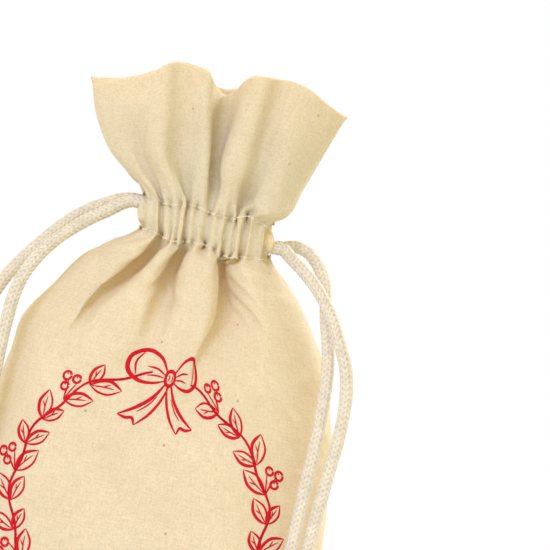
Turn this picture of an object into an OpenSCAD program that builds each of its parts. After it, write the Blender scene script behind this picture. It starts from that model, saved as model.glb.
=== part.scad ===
// Drawstring gift pouch: a front and a back calico panel sewn together at the sides and the bottom,
// a stitched casing that two braided drawcords gather into a neck, and a flared header above it.
// The pouch stands filled on its base and is drawn closed. +X is its right side, -Y its front and
// +Z up; the origin is the middle of the base. Each cord runs once round the casing as a hairpin:
// both ends of one leave at the left, both ends of the other at the right, knotted in pairs.

/* [Pouch] */
// Height of the header's highest edge
pouch_h = 212; // [208:1:216]
// Width of the filled body at its widest
body_w = 126; // [122:1:130]
// Depth of the filled body at its deepest
body_d = 60; // [56:1:62]
// Thickness of the cloth with its seam allowances
cloth_t = 0.8; // [0.6:0.1:1]
// Depth of the folds in the shoulders and the header
fold_depth = 1.4; // [0:0.1:2]

/* [Neck] */
// Height of the middle of the casing
casing_z = 160; // [159:0.5:161]
// Height of the casing, between its two rows of stitching
casing_h = 15; // [14:0.5:16]
// Width of the gathered neck
neck_w = 47; // [46:0.5:49]
// Depth of the gathered neck
neck_d = 30; // [29:0.5:32]
// Half-width of the casing's side openings, front to back
opening_y = 7.5; // [7:0.5:8]

/* [Cords] */
// Diameter of the braided cord
cord_d = 4.5; // [4:0.1:4.6]
// Height of the cord that leaves at the left
left_cord_z = 163; // [162.5:0.1:163.4]
// Height of the cord that leaves at the right
right_cord_z = 157; // [156.6:0.1:157.5]
// Diameter of a knot that ties two cord ends
knot_d = 12; // [10:0.5:13]

/* [Print] */
// Diameter of the wreath printed on the front, at the middle of its band
wreath_d = 88; // [70:1:92]
// Width of the printed band
wreath_band = 9; // [4:1:12]
// Height of the wreath's centre
wreath_z = 65; // [58:1:68]

/* [Hidden] */

calico = [0.93, 0.86, 0.72];
thread_colour = [0.96, 0.92, 0.82];
cord_colour = [0.88, 0.82, 0.69];
ink_red = [0.80, 0.05, 0.12];

// Outline of the pouch at each height: height, then the half-width at the left, the half-width at
// the right and the half-depth. Widths and depths of the body are shares of the widest ones.
body_outline = [
    [0, 0.90, 0.90, 0.82],
    [2.5, 0.96, 0.96, 0.91],
    [9, 1.00, 0.99, 0.97],
    [40, 1.02, 1.02, 1.03],
    [70, 1.00, 0.98, 1.03],
    [95, 0.96, 0.93, 0.98],
    [115, 0.90, 0.84, 0.88],
    [130, 0.76, 0.69, 0.75],
    [142, 0.62, 0.54, 0.62]
];
// The header's shares are of the neck's half-width and half-depth.
header_outline = [
    [148, 1.28, 1.18, 1.08],
    [153, 1.05, 1.03, 1.01],
    [160, 1.00, 1.00, 1.00],
    [167.5, 1.02, 1.02, 0.98],
    [178, 1.40, 1.24, 1.00],
    [190, 1.82, 1.43, 1.03],
    [202, 2.08, 1.60, 1.00],
    [pouch_h, 2.13, 1.67, 0.95]
];
half_w = body_w / 2;
half_d = body_d / 2;
outline = concat(
    [for (s = body_outline) [s[0], s[1] * half_w, s[2] * half_w, s[3] * half_d]],
    [for (s = header_outline) [s[0], s[1] * neck_w / 2, s[2] * neck_w / 2, s[3] * neck_d / 2]]);
left_half = [for (s = outline) [s[0], s[1]]];
right_half = [for (s = outline) [s[0], s[2]]];
front_half = [for (s = outline) [s[0], s[3]]];

// Heights of the cloth's rows, the steps across each panel and the folds that the cord gathers
wall_rows = [0, 2.5, 9, 25, 40, 55, 70, 83, 95, 106, 115, 123, 130, 136, 142, 148, 153, 160, 167.5,
    172, 178, 184, 190, 196, 202, 207, pouch_h];
steps = 36;
folds = 9;
squareness = 2.4;
// The header's corners flare outwards, so its edge drops towards the sides
corner_drop = 9;
// Share of the fold depth at each height
fold_share = [[0, 0], [116, 0], [130, 0.6], [142, 1], [150, 0.3], [153, 0], [167.5, 0], [175, 0.8],
    [190, 1], [pouch_h, 1]];

casing_bottom = casing_z - casing_h / 2;
casing_top = casing_z + casing_h / 2;
cord_r = cord_d / 2;
cord_sides = 10;
thread_r = 0.45;
thread_sides = 6;

// The turned-down end of the header that closes the casing on the inside. It stops short of the
// side openings, where the cord bends, and bows back towards its ends.
facing_reach = 11;
facing_steps = 10;
facing_y = 6.2;
facing_bow = 3.6;

// One cord's leg inside the casing, from its opening to its bend, for the cord that leaves at the
// left. The legs run nearly straight, so that the cord can be pulled through.
leg_route = [[-24, -3.4], [-21, -3.4], [-16, -4.9], [-10, -7.6], [-4, -9.6], [2, -10.2], [8, -9.6],
    [12.5, -8], [16, -5.8], [18.4, -3], [19.2, 0]];

// The free ends, from the casing's opening down to the knot. The left pair hangs beside the body,
// with the front strand inside the back one. The right pair crosses a third of the way down.
left_front_route = [[-24.5, -3.4, 162.6], [-27, -3.4, 162.6], [-30, -4, 161.2], [-34, -6, 158], [-39.5, -9, 154],
    [-45, -12.5, 149], [-50, -15.5, 143.5], [-54, -18, 137.5], [-57, -19.5, 131],
    [-58.6, -20.5, 124], [-59.2, -21, 116], [-59.4, -21.5, 106], [-59.4, -22, 95],
    [-59.2, -22, 84], [-59.2, -22, 73], [-59.4, -22, 62], [-59.8, -22, 51], [-60.6, -22, 41],
    [-61.4, -22, 33], [-61.7, -22, 26]];
left_back_route = [[-24.5, 3.4, 163.2], [-27, 3.4, 163.2], [-31, 3.3, 162.4], [-36.5, 3, 159.6], [-43, 1.5, 155.3],
    [-50, -1, 148.5], [-55.8, -3.5, 141], [-61, -6, 133.5], [-65, -8.5, 126],
    [-67.6, -11, 118], [-69, -13.5, 109], [-69.4, -15.5, 99], [-69.4, -17.5, 88],
    [-69.2, -19, 77], [-69, -20.5, 66], [-68.6, -21.5, 55], [-68, -22, 45],
    [-67, -22, 36], [-66.3, -22, 26]];
right_front_route = [[24.5, -3.4, 156.9], [27, -3.4, 156.9], [30.5, -5.6, 154.6], [35, -10.5, 151.6],
    [40, -14.4, 147.6], [44.5, -17.8, 142.8], [48.8, -20.8, 136.8], [52, -23, 130.8], [55.4, -24.6, 124],
    [57.6, -25.8, 116], [58.4, -26.6, 106.5], [58.2, -27.2, 96.5], [57.4, -27.6, 86.5],
    [56.8, -27.8, 76.5], [56.2, -28, 66.5], [55.8, -28.2, 56.5], [55.4, -28.4, 46.5],
    [55, -28.6, 36], [54.7, -28.6, 26]];
right_back_route = [[24.5, 3.4, 157.4], [27, 3.4, 157.4], [30.5, 2.6, 158.6], [35, -0.2, 158],
    [39.5, -4, 154.6], [42.8, -7.8, 149.6], [44.8, -11.2, 143.2], [46.4, -14.4, 136.4],
    [48.4, -17.6, 129.6], [50, -20.8, 121.6], [50.8, -23.4, 113], [51.2, -25.4, 103.6], [51.2, -26.8, 94],
    [51, -27.6, 84.4], [50.7, -28, 74.6], [50.6, -28.2, 64.6], [50.5, -28.4, 54.6],
    [50.4, -28.5, 45], [50.2, -28.6, 36], [50.1, -28.6, 26]];
left_knot_at = [-64, -22, 23];
right_knot_at = [52.4, -28.6, 23];
cord_end_gap = 4.2;
cord_end_tip = 4;

// Half-width on the side of the angle, and half-depth, at a height
function half_width(angle, z) = lookup(z, angle > 90 ? left_half : right_half);

function signed_power(value, power) = sign(value) * pow(abs(value), power);

// Point of the cloth's outline at an angle from +X, pulled in by inset
function rim(angle, z, inset) =
    let (
        fold = lookup(z, fold_share) * fold_depth * cos(folds * 2 * angle),
        a = half_width(angle, z) - inset,
        b = lookup(z, front_half) - inset + fold * abs(sin(angle))
    )
    [a * signed_power(cos(angle), 2 / squareness), b * signed_power(sin(angle), 2 / squareness)];

function row_height(angle, z) =
    z <= casing_top ? z : z - corner_drop * pow(abs(cos(angle)), 3) * (z - casing_top) / (pouch_h - casing_top);

// Rows of one panel's cloth, from the bottom seam out to the edge of the base and up to the header.
// side is -1 on the front and 1 on the back.
function cloth_rows(side, inset) = concat(
    [for (reach = [0, 0.5]) [for (i = [0:steps])
        let (p = rim(180 - 180 * i / steps, 0, inset))
        [p[0], side * p[1] * reach, inset]]],
    [for (z = wall_rows) [for (i = [0:steps])
        let (angle = 180 - 180 * i / steps, p = rim(angle, z, inset))
        [p[0], side * p[1], max(inset, row_height(angle, z))]]]);

// Closed solid between two grids of points of the same size, the second grid inside the first
module skin(outer, inner) {
    rows = len(outer);
    columns = len(outer[0]);
    count = rows * columns;
    function at(row, column, layer) = layer * count + row * columns + column;
    points = concat([for (row = outer) each row], [for (row = inner) each row]);
    faces = concat(
        [for (r = [0:rows - 2]) for (c = [0:columns - 2])
            [at(r, c, 0), at(r + 1, c, 0), at(r + 1, c + 1, 0), at(r, c + 1, 0)]],
        [for (r = [0:rows - 2]) for (c = [0:columns - 2])
            [at(r, c, 1), at(r, c + 1, 1), at(r + 1, c + 1, 1), at(r + 1, c, 1)]],
        [for (c = [0:columns - 2]) [at(0, c, 0), at(0, c + 1, 0), at(0, c + 1, 1), at(0, c, 1)]],
        [for (c = [0:columns - 2])
            [at(rows - 1, c, 1), at(rows - 1, c + 1, 1), at(rows - 1, c + 1, 0), at(rows - 1, c, 0)]],
        [for (r = [0:rows - 2]) [at(r, 0, 1), at(r + 1, 0, 1), at(r + 1, 0, 0), at(r, 0, 0)]],
        [for (r = [0:rows - 2])
            [at(r, columns - 1, 0), at(r + 1, columns - 1, 0), at(r + 1, columns - 1, 1), at(r, columns - 1, 1)]]);
    polyhedron(points, faces, convexity = 8);
}

function facing_rows(side, inset) =
    let (
        wall = neck_d / 2 - cloth_t / 2,
        profile = [[casing_bottom - 1, wall], [casing_bottom + 1.2, facing_y + cloth_t],
            [casing_top - 1.2, facing_y + cloth_t], [casing_top + 1, wall]]
    )
    [for (s = profile) [for (i = [0:facing_steps])
        let (x = facing_reach * (2 * i / facing_steps - 1), bow = facing_bow * pow(x / facing_reach, 2))
        [x, side * (s[1] - bow - inset), s[0]]]];

// Mirrored about the seam so that both panels use the same winding
module panel(side) {
    mirror([0, side > 0 ? 1 : 0, 0])
        difference() {
            union() {
                skin(cloth_rows(-1, 0), cloth_rows(-1, cloth_t));
                skin(facing_rows(-1, 0), facing_rows(-1, cloth_t));
            }
            for (end = [-1, 1])
                translate([end * neck_w / 2, 0, casing_z])
                    cube([9, opening_y * 2, casing_h - 2], center = true);
        }
}

module front_panel() {
    color(calico) panel(-1);
}

module back_panel() {
    color(calico) panel(1);
}

function unit(v) = v / norm(v);

// Direction of a route at one of its points
function heading(route, i) = unit(route[min(i + 1, len(route) - 1)] - route[max(i - 1, 0)]);

// Round tube along a route. across is a direction that the route never runs along.
module tube(route, radius, sides, across) {
    rings = len(route);
    points = [for (i = [0:rings - 1])
        let (
            ahead = heading(route, i),
            u = unit(cross(across, ahead)),
            v = cross(ahead, u)
        )
        for (k = [0:sides - 1])
            let (angle = 360 * k / sides)
            route[i] + radius * (cos(angle) * u + sin(angle) * v)];
    faces = concat(
        [[for (k = [0:sides - 1]) k]],
        [for (i = [0:rings - 2]) for (k = [0:sides - 1])
            let (next = (k + 1) % sides)
            [i * sides + next, i * sides + k, (i + 1) * sides + k, (i + 1) * sides + next]],
        [[for (k = [sides - 1:-1:0]) (rings - 1) * sides + k]]);
    polyhedron(points, faces, convexity = 6);
}

// Both legs of a cord inside the casing and the bend that joins them. side is -1 for the cord that
// leaves at the left and 1 for the other.
function casing_route(side, z) = concat(
    [for (p = leg_route) [-side * p[0], p[1], z]],
    [for (i = [len(leg_route) - 2:-1:0]) [-side * leg_route[i][0], -leg_route[i][1], z]]);

module left_drawcord() {
    color(cord_colour) tube(casing_route(-1, left_cord_z), cord_r, cord_sides, [0, 0, 1]);
}

module right_drawcord() {
    color(cord_colour) tube(casing_route(1, right_cord_z), cord_r, cord_sides, [0, 0, 1]);
}

module cord_tail(route) {
    color(cord_colour) tube(route, cord_r, cord_sides, [0, 1, 0]);
}

module left_tail_front() {
    cord_tail(left_front_route);
}

module left_tail_back() {
    cord_tail(left_back_route);
}

module right_tail_front() {
    cord_tail(right_front_route);
}

module right_tail_back() {
    cord_tail(right_back_route);
}

// Overhand knot that ties both ends of a cord, as a ball that the strands run into
module knot(at) {
    color(cord_colour)
        translate(at)
            rotate_extrude($fn = 32)
                intersection() {
                    circle(d = knot_d, $fn = 32);
                    translate([0, -knot_d]) square(knot_d * 2);
                }
}

module left_knot() {
    knot(left_knot_at);
}

module right_knot() {
    knot(right_knot_at);
}

// The two short ends below a knot
module cord_ends(at) {
    color(cord_colour)
        for (end = [-1, 1])
            translate([at[0] + end * cord_end_gap / 2, at[1], cord_end_tip])
                cylinder(h = at[2] - knot_d / 2 + 0.8 - cord_end_tip, d = cord_d - 0.5, $fn = 24);
}

module left_cord_ends() {
    cord_ends(left_knot_at);
}

module right_cord_ends() {
    cord_ends(right_knot_at);
}

// Row of stitching round one panel at a height, half sunk into the cloth
module stitch_row(side, z) {
    reach = 6;
    route = [for (i = [0:24])
        let (angle = 180 - reach - (180 - 2 * reach) * i / 24, p = rim(angle, z, 0))
        [p[0], side * p[1], z]];
    color(thread_colour) tube(route, thread_r, thread_sides, [0, 0, 1]);
}

module front_upper_stitching() {
    stitch_row(-1, casing_top);
}

module front_lower_stitching() {
    stitch_row(-1, casing_bottom);
}

module back_upper_stitching() {
    stitch_row(1, casing_top);
}

module back_lower_stitching() {
    stitch_row(1, casing_bottom);
}

// Seam thread inside the cloth along one side, broken at the casing's opening
module side_seam(angle) {
    sunk = cloth_t + thread_r / 2;
    below = [for (z = [4, 20, 45, 70, 95, 115, 130, 142, casing_bottom]) z];
    above = [for (z = [casing_top, 178, 190, 200]) z];
    color(thread_colour)
        for (heights = [below, above])
            tube([for (z = heights)
                let (p = rim(angle, z, sunk))
                [p[0], 0, row_height(angle, z)]], thread_r, thread_sides, [0, 1, 0]);
}

module left_side_seam() {
    side_seam(180);
}

module right_side_seam() {
    side_seam(0);
}

module bottom_seam() {
    reach = 50;
    color(thread_colour)
        tube([for (x = [-reach:20:reach]) [x, 0, cloth_t + thread_r / 2]], thread_r, thread_sides, [0, 0, 1]);
}

// Short bars of stitching that stop each opening from tearing up or down the side seam
module opening_bar_tacks() {
    bar = [1, 3, 1.4];
    color(thread_colour)
        for (end = [-1, 1], z = [casing_bottom - 0.3, casing_top + 0.3])
            translate([end * (half_width(end < 0 ? 180 : 0, z) - 0.1), 0, z])
                cube(bar, center = true);
}

// Depth of the front cloth at a place across the pouch
function front_y(x, z) =
    let (a = half_width(x < 0 ? 180 : 0, z), b = lookup(z, front_half))
    -b * pow(max(0, 1 - pow(abs(x) / a, squareness)), 1 / squareness);

// Thin ring of ink on the front cloth
module wreath_print() {
    points_round = 60;
    proud = 0.25;
    centre_x = -3;
    rows_at = [-0.5, -0.17, 0.17, 0.5];
    function ring_rows(lift) = [for (share = rows_at) [for (i = [0:points_round - 1])
        let (
            radius = wreath_d / 2 + share * wreath_band,
            angle = 360 * i / points_round,
            x = centre_x + radius * cos(angle),
            z = wreath_z + radius * sin(angle)
        )
        [x, front_y(x, z) + lift, z]]];
    outer = ring_rows(-proud);
    inner = ring_rows(cloth_t / 2);
    rows = len(rows_at);
    count = rows * points_round;
    function at(row, i, layer) = layer * count + row * points_round + i % points_round;
    faces = concat(
        [for (r = [0:rows - 2]) for (i = [0:points_round - 1])
            [at(r, i, 0), at(r, i + 1, 0), at(r + 1, i + 1, 0), at(r + 1, i, 0)]],
        [for (r = [0:rows - 2]) for (i = [0:points_round - 1])
            [at(r, i, 1), at(r + 1, i, 1), at(r + 1, i + 1, 1), at(r, i + 1, 1)]],
        [for (i = [0:points_round - 1]) [at(0, i, 1), at(0, i + 1, 1), at(0, i + 1, 0), at(0, i, 0)]],
        [for (i = [0:points_round - 1])
            [at(rows - 1, i, 0), at(rows - 1, i + 1, 0), at(rows - 1, i + 1, 1), at(rows - 1, i, 1)]]);
    color(ink_red)
        polyhedron(concat([for (row = outer) each row], [for (row = inner) each row]), faces, convexity = 6);
}

front_panel();
back_panel();
left_side_seam();
right_side_seam();
bottom_seam();
front_upper_stitching();
front_lower_stitching();
back_upper_stitching();
back_lower_stitching();
opening_bar_tacks();
wreath_print();
left_drawcord();
right_drawcord();
left_tail_front();
left_tail_back();
right_tail_front();
right_tail_back();
left_knot();
right_knot();
left_cord_ends();
right_cord_ends();
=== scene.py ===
import math

import bpy
import numpy as np
from mathutils import Matrix, Vector


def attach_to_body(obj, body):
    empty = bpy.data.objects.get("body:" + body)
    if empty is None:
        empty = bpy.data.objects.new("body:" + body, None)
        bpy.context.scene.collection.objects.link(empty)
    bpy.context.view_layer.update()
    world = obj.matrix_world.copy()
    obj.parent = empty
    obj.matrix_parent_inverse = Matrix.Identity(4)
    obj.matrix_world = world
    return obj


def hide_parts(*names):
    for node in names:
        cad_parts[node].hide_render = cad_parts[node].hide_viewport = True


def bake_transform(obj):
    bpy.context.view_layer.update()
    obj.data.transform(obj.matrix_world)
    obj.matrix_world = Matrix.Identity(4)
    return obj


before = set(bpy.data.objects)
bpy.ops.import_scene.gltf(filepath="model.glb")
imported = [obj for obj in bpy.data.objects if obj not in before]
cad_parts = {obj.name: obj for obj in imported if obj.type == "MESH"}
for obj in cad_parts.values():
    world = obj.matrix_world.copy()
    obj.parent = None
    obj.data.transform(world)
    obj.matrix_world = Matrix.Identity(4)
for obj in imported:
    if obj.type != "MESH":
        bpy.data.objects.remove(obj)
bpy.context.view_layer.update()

MM = 0.001


# ----------- small tools

def smoothstep(low, high, value):
    """0 up to low, 1 from high on, and a smooth rise between them."""
    share = np.clip((np.asarray(value, float) - low) / (high - low), 0.0, 1.0)
    return share * share * (3 - 2 * share)


def spline(knots, values, at):
    """Smooth curve through values given at knots, read at each number in at."""
    knots, values, at = (np.asarray(numbers, float) for numbers in (knots, values, at))
    column = [-1] + [1] * (values.ndim - 1)
    step = np.diff(knots)
    slope = np.diff(values, axis=0) / step.reshape(column)
    before, after = step[:-1].reshape(column), step[1:].reshape(column)
    middle = (slope[:-1] * after + slope[1:] * before) / (before + after)
    tangent = np.concatenate([slope[:1], middle, slope[-1:]])
    span = np.clip(np.searchsorted(knots, at, side="right") - 1, 0, len(knots) - 2)
    width = step[span].reshape(column)
    u = (at - knots[span]).reshape(column) / width
    return ((2 * u**3 - 3 * u**2 + 1) * values[span] + (u**3 - 2 * u**2 + u) * width * tangent[span]
            + (3 * u**2 - 2 * u**3) * values[span + 1] + (u**3 - u**2) * width * tangent[span + 1])


def distances(points):
    """Distance from the first point to each point, along the line through them."""
    return np.concatenate([[0], np.cumsum(np.linalg.norm(np.diff(points, axis=0), axis=1))])


def read_along(run, fields, at):
    """Rows of fields, known at the distances run, read at other distances."""
    return np.stack([np.interp(at, run, fields[:, k]) for k in range(fields.shape[1])], axis=1)


def evenly(points, count):
    """The same line with count points at even distances along it."""
    points = np.asarray(points, float)
    run = distances(points)
    return read_along(run, points, np.linspace(0, run[-1], count))


def line_length(points):
    """Length of the line through the points."""
    return float(np.linalg.norm(np.diff(points, axis=0), axis=1).sum())


def grid_faces(rows, columns, closed=False):
    """Quads between rows of points. closed joins each row's last point to its first."""
    steps = columns if closed else columns - 1
    return [(r * columns + k, r * columns + (k + 1) % columns,
             (r + 1) * columns + (k + 1) % columns, (r + 1) * columns + k)
            for r in range(rows - 1) for k in range(steps)]


def mesh_object(name, points, faces, smooth=True):
    """Object from points in metres and faces as lists of corners."""
    mesh = bpy.data.meshes.new(name)
    mesh.from_pydata([tuple(p) for p in points], [], [tuple(f) for f in faces])
    mesh.update()
    mesh.polygons.foreach_set("use_smooth", [smooth] * len(mesh.polygons))
    obj = bpy.data.objects.new(name, mesh)
    bpy.context.scene.collection.objects.link(obj)
    return obj


def attach(obj, material, body, node=None):
    """Gives a piece its material, its body and the CAD node that it stands for."""
    obj.data.materials.append(material)
    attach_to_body(obj, body)
    if node:
        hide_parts(node)


# ----------- camera and studio

def add_camera():
    """Looks at the pouch from the front, a little from above, leaning over by the photographed tilt."""
    aim = Vector((26.1, -12, 148.2)) * MM
    view_width = 187 * MM
    elevation = math.radians(2)
    roll = math.radians(12)
    data = bpy.data.cameras.new("camera")
    data.lens = 180
    data.sensor_width = 36
    distance = view_width * data.lens / data.sensor_width
    ahead = Vector((0, math.cos(elevation), -math.sin(elevation)))
    level_up = Vector((0, math.sin(elevation), math.cos(elevation)))
    level_right = Vector((1, 0, 0))
    right = math.cos(roll) * level_right + math.sin(roll) * level_up
    up = math.cos(roll) * level_up - math.sin(roll) * level_right
    camera = bpy.data.objects.new("camera", data)
    bpy.context.scene.collection.objects.link(camera)
    turn = Matrix((right, up, -ahead)).transposed().to_4x4()
    camera.matrix_world = Matrix.Translation(aim - ahead * distance) @ turn
    bpy.context.scene.camera = camera


def add_light(name, where, size, power, colour):
    """Round soft light aimed at the middle of the pouch."""
    data = bpy.data.lights.new(name, "AREA")
    data.shape = "DISK"
    data.size = size
    data.energy = power
    data.color = colour
    lamp = bpy.data.objects.new(name, data)
    bpy.context.scene.collection.objects.link(lamp)
    aim = Vector((0, 0, 0.11))
    lamp.location = where
    lamp.rotation_euler = (aim - Vector(where)).to_track_quat("-Z", "Y").to_euler()


def add_studio():
    """White paper behind, soft light from the upper left, from behind and all round, and a pale table top."""
    world = bpy.data.worlds.new("studio")
    bpy.context.scene.world = world
    world.use_nodes = True
    nodes, links = world.node_tree.nodes, world.node_tree.links
    backdrop = nodes["Background"]
    backdrop.inputs["Color"].default_value = (1, 1, 1, 1)
    backdrop.inputs["Strength"].default_value = 1.0
    fill = nodes.new("ShaderNodeBackground")
    fill.inputs["Color"].default_value = (1, 0.92, 0.69, 1)
    fill.inputs["Strength"].default_value = 0.98
    path = nodes.new("ShaderNodeLightPath")
    mix = nodes.new("ShaderNodeMixShader")
    links.new(path.outputs["Is Camera Ray"], mix.inputs[0])
    links.new(fill.outputs[0], mix.inputs[1])
    links.new(backdrop.outputs[0], mix.inputs[2])
    links.new(mix.outputs[0], nodes["World Output"].inputs["Surface"])
    bpy.context.scene.view_settings.view_transform = "Standard"
    add_light("key", (-0.8, -1.5, 1.2), 1.0, 14, (0.88, 1, 1.6))
    add_light("back", (0.7, 1.0, 1.0), 0.6, 20, (0.96, 1, 1.15))
    table_radius = 0.31
    turns = np.arange(96) * 2 * math.pi / 96
    rim = [(table_radius * math.cos(turn), table_radius * math.sin(turn), 0) for turn in turns]
    floor = mesh_object("floor", rim, [range(len(rim))], smooth=False)
    paper = bpy.data.materials.new("pale_floor")
    paper.use_nodes = True
    shader = paper.node_tree.nodes["Principled BSDF"]
    shader.inputs["Base Color"].default_value = (0.90, 0.925, 0.97, 1)
    shader.inputs["Roughness"].default_value = 0.9
    floor.data.materials.append(paper)


# ----------- cord routes, as in the CAD source

LEFT_CORD_Z = 163
RIGHT_CORD_Z = 157
LEG_ROUTE = [(-24, -3.4), (-21, -3.4), (-16, -4.9), (-10, -7.6), (-4, -9.6), (2, -10.2), (8, -9.6),
             (12.5, -8), (16, -5.8), (18.4, -3), (19.2, 0)]
LEFT_FRONT_ROUTE = [
    (-24.5, -3.4, 162.6), (-27, -3.4, 162.6), (-30, -4, 161.2), (-34, -6, 158), (-39.5, -9, 154),
    (-45, -12.5, 149), (-50, -15.5, 143.5), (-54, -18, 137.5), (-57, -19.5, 131), (-58.6, -20.5, 124),
    (-59.2, -21, 116), (-59.4, -21.5, 106), (-59.4, -22, 95), (-59.2, -22, 84), (-59.2, -22, 73),
    (-59.4, -22, 62), (-59.8, -22, 51), (-60.6, -22, 41), (-61.4, -22, 33), (-61.7, -22, 26)]
LEFT_BACK_ROUTE = [
    (-24.5, 3.4, 163.2), (-27, 3.4, 163.2), (-31, 3.3, 162.4), (-36.5, 3, 159.6), (-43, 1.5, 155.3),
    (-50, -1, 148.5), (-55.8, -3.5, 141), (-61, -6, 133.5), (-65, -8.5, 126), (-67.6, -11, 118),
    (-69, -13.5, 109), (-69.4, -15.5, 99), (-69.4, -17.5, 88), (-69.2, -19, 77), (-69, -20.5, 66),
    (-68.6, -21.5, 55), (-68, -22, 45), (-67, -22, 36), (-66.3, -22, 26)]
RIGHT_FRONT_ROUTE = [
    (24.5, -3.4, 156.9), (27, -3.4, 156.9), (30.5, -5.6, 154.6), (35, -10.5, 151.6), (40, -14.4, 147.6),
    (44.5, -17.8, 142.8), (48.8, -20.8, 136.8), (52, -23, 130.8), (55.4, -24.6, 124), (57.6, -25.8, 116),
    (58.4, -26.6, 106.5), (58.2, -27.2, 96.5), (57.4, -27.6, 86.5), (56.8, -27.8, 76.5),
    (56.2, -28, 66.5), (55.8, -28.2, 56.5), (55.4, -28.4, 46.5), (55, -28.6, 36), (54.7, -28.6, 26)]
RIGHT_BACK_ROUTE = [
    (24.5, 3.4, 157.4), (27, 3.4, 157.4), (30.5, 2.6, 158.6), (35, -0.2, 158), (39.5, -4, 154.6),
    (42.8, -7.8, 149.6), (44.8, -11.2, 143.2), (46.4, -14.4, 136.4), (48.4, -17.6, 129.6),
    (50, -20.8, 121.6), (50.8, -23.4, 113), (51.2, -25.4, 103.6), (51.2, -26.8, 94), (51, -27.6, 84.4),
    (50.7, -28, 74.6), (50.6, -28.2, 64.6), (50.5, -28.4, 54.6), (50.4, -28.5, 45), (50.2, -28.6, 36),
    (50.1, -28.6, 26)]
LEFT_KNOT_AT = (-64, -22, 23)
RIGHT_KNOT_AT = (52.4, -28.6, 23)
CORD_D = 4.5


def smooth_route(points, spacing=0.4):
    """Round line through a route's points, in millimetres, with points at an even spacing."""
    points = np.asarray(points, float)
    run = distances(points)
    fine = spline(run, points, np.linspace(0, run[-1], int(run[-1] * 8)))
    return evenly(fine, int(line_length(fine) / spacing) + 1)


def sections(route):
    """Two directions across the route at each point, carried along it without twist."""
    ahead = np.gradient(route, axis=0)
    ahead /= np.linalg.norm(ahead, axis=1)[:, None]
    side = np.cross(ahead[0], (0, 1, 0.01))
    across = []
    for direction in ahead:
        side = side - direction * np.dot(side, direction)
        side /= np.linalg.norm(side)
        across.append(side)
    across = np.array(across)
    return across, np.cross(ahead, across)


def tube(route, radius, sides, close_ends=True):
    """Points and faces of a tube along a route. radius is one number, or one for each point of its rings."""
    across, other = sections(route)
    angle = np.arange(sides) * 2 * math.pi / sides
    ring = (np.cos(angle)[None, :, None] * across[:, None, :]
            + np.sin(angle)[None, :, None] * other[:, None, :])
    points = (route[:, None, :] + np.asarray(radius)[..., None] * ring).reshape(-1, 3)
    faces = grid_faces(len(route), sides, closed=True)
    if close_ends:
        last = (len(route) - 1) * sides
        faces.append(tuple(range(sides - 1, -1, -1)))
        faces.append(tuple(range(last, last + sides)))
    return points, faces


BRAID_COLUMNS = 10
BRAID_PITCH = 1.9
BRAID_SIDES = 50


def braid_relief(angle, along):
    """Height of the braid's strands, 0 to 1: columns of slanted grains that meet as chevrons."""
    place = angle / (2 * math.pi) * BRAID_COLUMNS
    column = np.floor(place)
    within = place - column
    # Strands slant one way in one column and the other way in the next
    slant = np.where(column % 2 == 0, 1.0, -1.0)
    phase = along / BRAID_PITCH + slant * (within - 0.5) * 0.75
    grain = np.abs(np.sin(math.pi * phase)) ** 0.8
    ridge = np.sqrt(np.clip(1 - (2 * within - 1) ** 2, 0, 1))
    return grain * (0.4 + 0.6 * ridge)


def braided_tube(name, route, diameter=CORD_D, close_ends=True):
    """Round braided cord along a route in millimetres. Its relief attribute marks the strands' tops, and the
    braid's painted shade between the strands is read from it.
    """
    angle = np.arange(BRAID_SIDES) * 2 * math.pi / BRAID_SIDES
    spacing = line_length(route) / (len(route) - 1)
    along = np.arange(len(route)) * spacing
    relief = braid_relief(angle[None, :], along[:, None])
    # A real cord isn't quite even along its length
    wobble = 1 + 0.02 * np.sin(along / 7.0)[:, None] + 0.015 * np.sin(along / 3.1 + 1)[:, None]
    radius = diameter / 2 * (0.87 + 0.14 * relief) * wobble
    points, faces = tube(route, radius, BRAID_SIDES, close_ends)
    obj = mesh_object(name, points * MM, faces)
    obj.data.attributes.new("relief", "FLOAT", "POINT").data.foreach_set("value", relief.reshape(-1))
    return obj


# ----------- cloth: plan of the gathered pouch

# The cloth is a grid of columns all round the pouch and rows from its bottom seam to its mouth
COLUMNS = 192
HALF = COLUMNS // 2
ROWS = 160
# Width of both panels together, flat
CLOTH_ROUND = 304
OUTLINE_HEIGHTS = (2.5, 9, 25, 40, 55, 70, 83, 95, 106, 115, 123, 130, 136, 142, 148)
SQUARENESS = 2.4


def read_outline():
    """Half-widths at the left and the right and the half-depth of the CAD pouch, by height, in mm."""
    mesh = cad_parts["front_panel"].data
    points = np.array([v.co for v in mesh.vertices]) / MM
    rows = []
    for height in OUTLINE_HEIGHTS:
        level = points[np.abs(points[:, 2] - height) < 0.4]
        rows.append((height, -level[:, 0].min(), level[:, 0].max(), -level[:, 1].min()))
    return np.array(rows)


OUTLINE = read_outline()


def outline_at(height):
    """Half-width at the left, half-width at the right and half-depth of the body at a height."""
    return [np.interp(height, OUTLINE[:, 0], OUTLINE[:, k]) for k in (1, 2, 3)]


def oval(left, right, depth, height):
    """Closed outline at a height as cloth columns: the front from left to right, then the back."""
    turn = np.linspace(math.pi, 0, 721)
    x = np.sign(np.cos(turn)) * np.abs(np.cos(turn)) ** (2 / SQUARENESS)
    x = np.where(x < 0, x * left, x * right)
    y = depth * np.sin(turn) ** (2 / SQUARENESS)
    front = evenly(np.stack([x, -y, np.full_like(x, height)], 1), HALF + 1)
    back = (front * (1, -1, 1))[::-1]
    return np.concatenate([front[:-1], back[:-1]])


def body_station(height):
    """Plain outline of the body at a height, a little inside the CAD solid."""
    left, right, depth = outline_at(height)
    return oval(left - 1, right - 1, depth - 1, height)


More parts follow.
